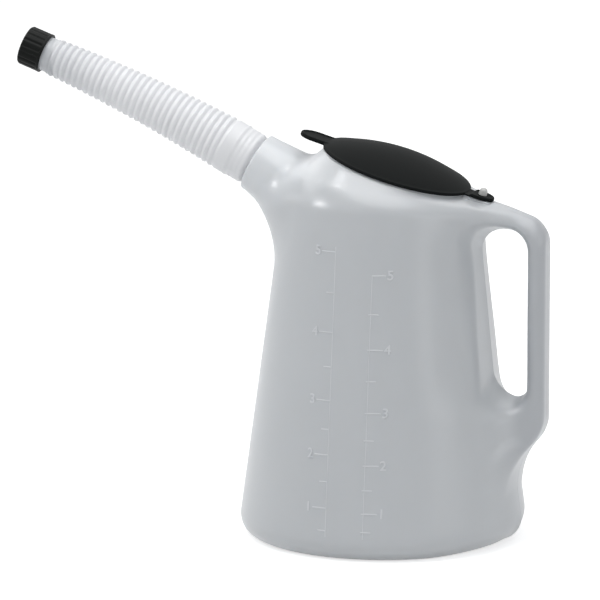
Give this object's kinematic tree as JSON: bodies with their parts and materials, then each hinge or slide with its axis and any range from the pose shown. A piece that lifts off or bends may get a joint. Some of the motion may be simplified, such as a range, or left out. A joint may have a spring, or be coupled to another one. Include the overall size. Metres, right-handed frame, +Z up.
{
  "type": "measuring jug",
  "caption": "Tapered translucent plastic measuring jug with side handle, raised level scales, hinged black lid and a long corrugated pouring spout closed by a ribbed screw cap.",
  "frame": {"origin": "centre of the base circle, on the surface that the jug stands on", "axes": "+Z is up, the spout points towards -X and the handle is on +X, with the mirror plane at Y = 0"},
  "size_m": [0.3859, 0.2008, 0.3499],
  "materials": {
    "natural_polyethylene": "milky, slightly translucent blown polyethylene with a satin skin",
    "white_tube": "soft white blown polyethylene, satin",
    "black_soft_plastic": "fine-grained soft black polyethylene, satin",
    "black_cap_plastic": "hard black polypropylene, satin",
    "stud_plastic": "natural polyethylene, satin",
    "seal_rubber": "pale soft seal, matt"
  },
  "bodies": {
    "jug": {"jug_body": "natural_polyethylene", "hinge_tab": "black_soft_plastic", "lid_stud": "stud_plastic"},
    "lid": {"lid": "black_soft_plastic"},
    "spout": {"flexible_spout": "white_tube"},
    "seal": {"cap_seal": "seal_rubber"},
    "cap": {"spout_cap": "black_cap_plastic"}
  },
  "joints": [
    {"name": "lid_hinge", "type": "hinge", "parent": "jug", "child": "lid", "pos_m": [0.06366, 0, 0.24572], "axis": [0, 1, 0], "range_deg": [0, 90]},
    {"name": "spout_bend", "type": "hinge", "parent": "jug", "child": "spout", "pos_m": [-0.16467, 0, 0.29667], "axis": [0, 1, 0], "range_deg": [-30, 30], "stiffness_Nm_per_rad": 3, "deforming": ["flexible_spout"]},
    {"name": "cap_lift", "type": "slide", "parent": "spout", "child": "seal", "axis": [-0.9348, 0, 0.3551], "range_m": [0, 0.0085]},
    {"name": "cap_turn", "type": "hinge", "parent": "seal", "child": "cap", "pos_m": [-0.26025, 0, 0.33579], "axis": [-0.9348, 0, 0.3551], "range_deg": [0, 900]}
  ],
  "couplings": [
    {"joint": "cap_lift", "follows": "cap_turn", "m_per_rad": 0.0005093}
  ]
}
